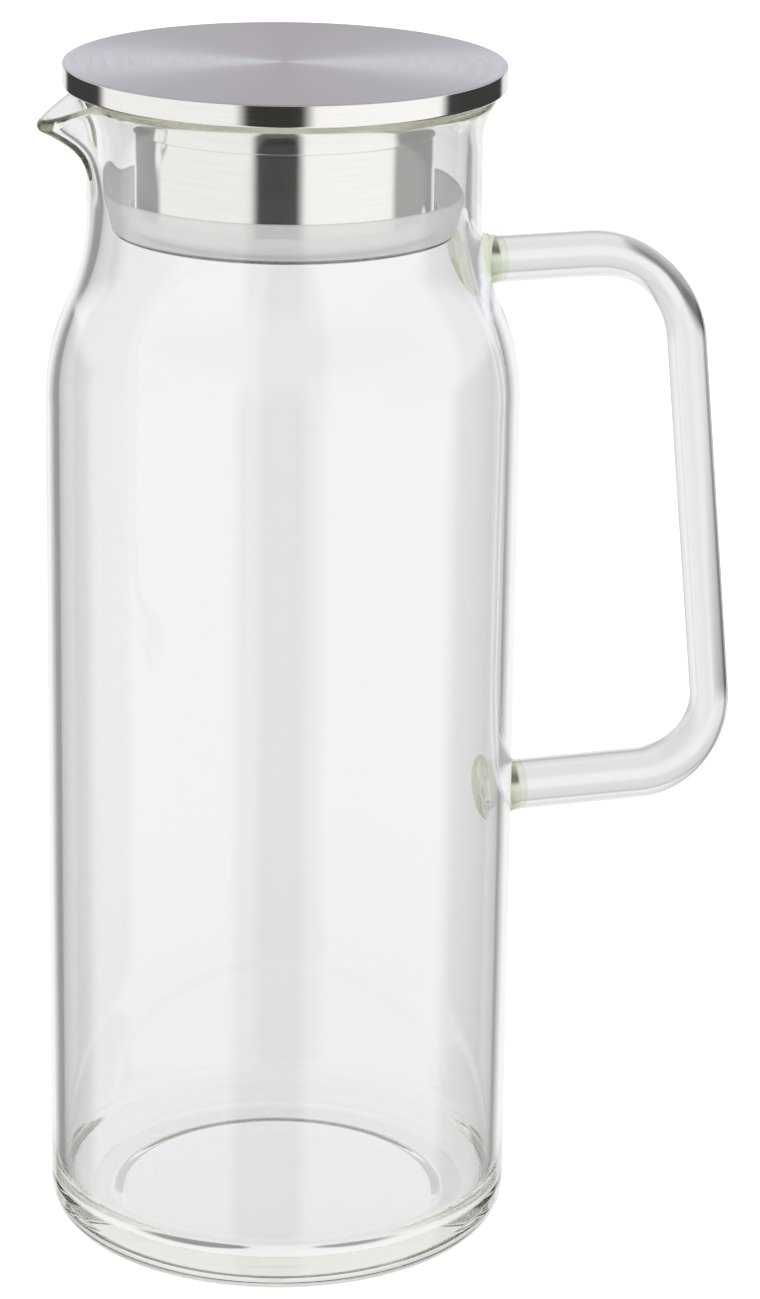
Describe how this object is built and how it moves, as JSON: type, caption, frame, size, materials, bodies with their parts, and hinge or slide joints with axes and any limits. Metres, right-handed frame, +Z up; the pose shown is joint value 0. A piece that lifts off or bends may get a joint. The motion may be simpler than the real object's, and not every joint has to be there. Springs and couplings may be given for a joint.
{
  "type": "lidded glass pitcher",
  "caption": "Straight blown-glass pitcher with a pulled spout, a bent glass-rod handle and a lift-off steel lid whose drum carries a silicone seal in the neck.",
  "frame": {"origin": "centre of the foot ring on the body's axis, in the plane of the table", "axes": "+Z up along the body's axis, +X out through the handle, -X out through the spout, +Y across the body"},
  "size_m": [0.1562, 0.1, 0.2567],
  "materials": {
    "body_glass": "blown, fire polished, clear",
    "rod_glass": "drawn rod, clear",
    "gather_glass": "hot worked, clear with fine seed",
    "brushed_disc_steel": "spun and brushed",
    "plate_steel": "satin",
    "polished_steel": "polished",
    "silicone": "translucent silicone, matt"
  },
  "bodies": {
    "jug": {"jug_body": "body_glass", "handle_rod": "rod_glass", "upper_gather": "gather_glass", "lower_gather": "gather_glass"},
    "seal": {"seal_ring": "silicone"},
    "lid": {"lid_cap": "brushed_disc_steel", "lid_underplate": "plate_steel", "lid_band": "polished_steel", "lid_drum": "polished_steel", "seal_plate": "plate_steel"}
  },
  "joints": [
    {"name": "lid_lift", "type": "slide", "parent": "jug", "child": "seal", "axis": [0, 0, 1], "range_m": [0, 0.08]},
    {"name": "lid_turn", "type": "hinge", "parent": "seal", "child": "lid", "pos_m": [0, 0, 0.24], "axis": [0, 0, 1], "continuous": true}
  ]
}
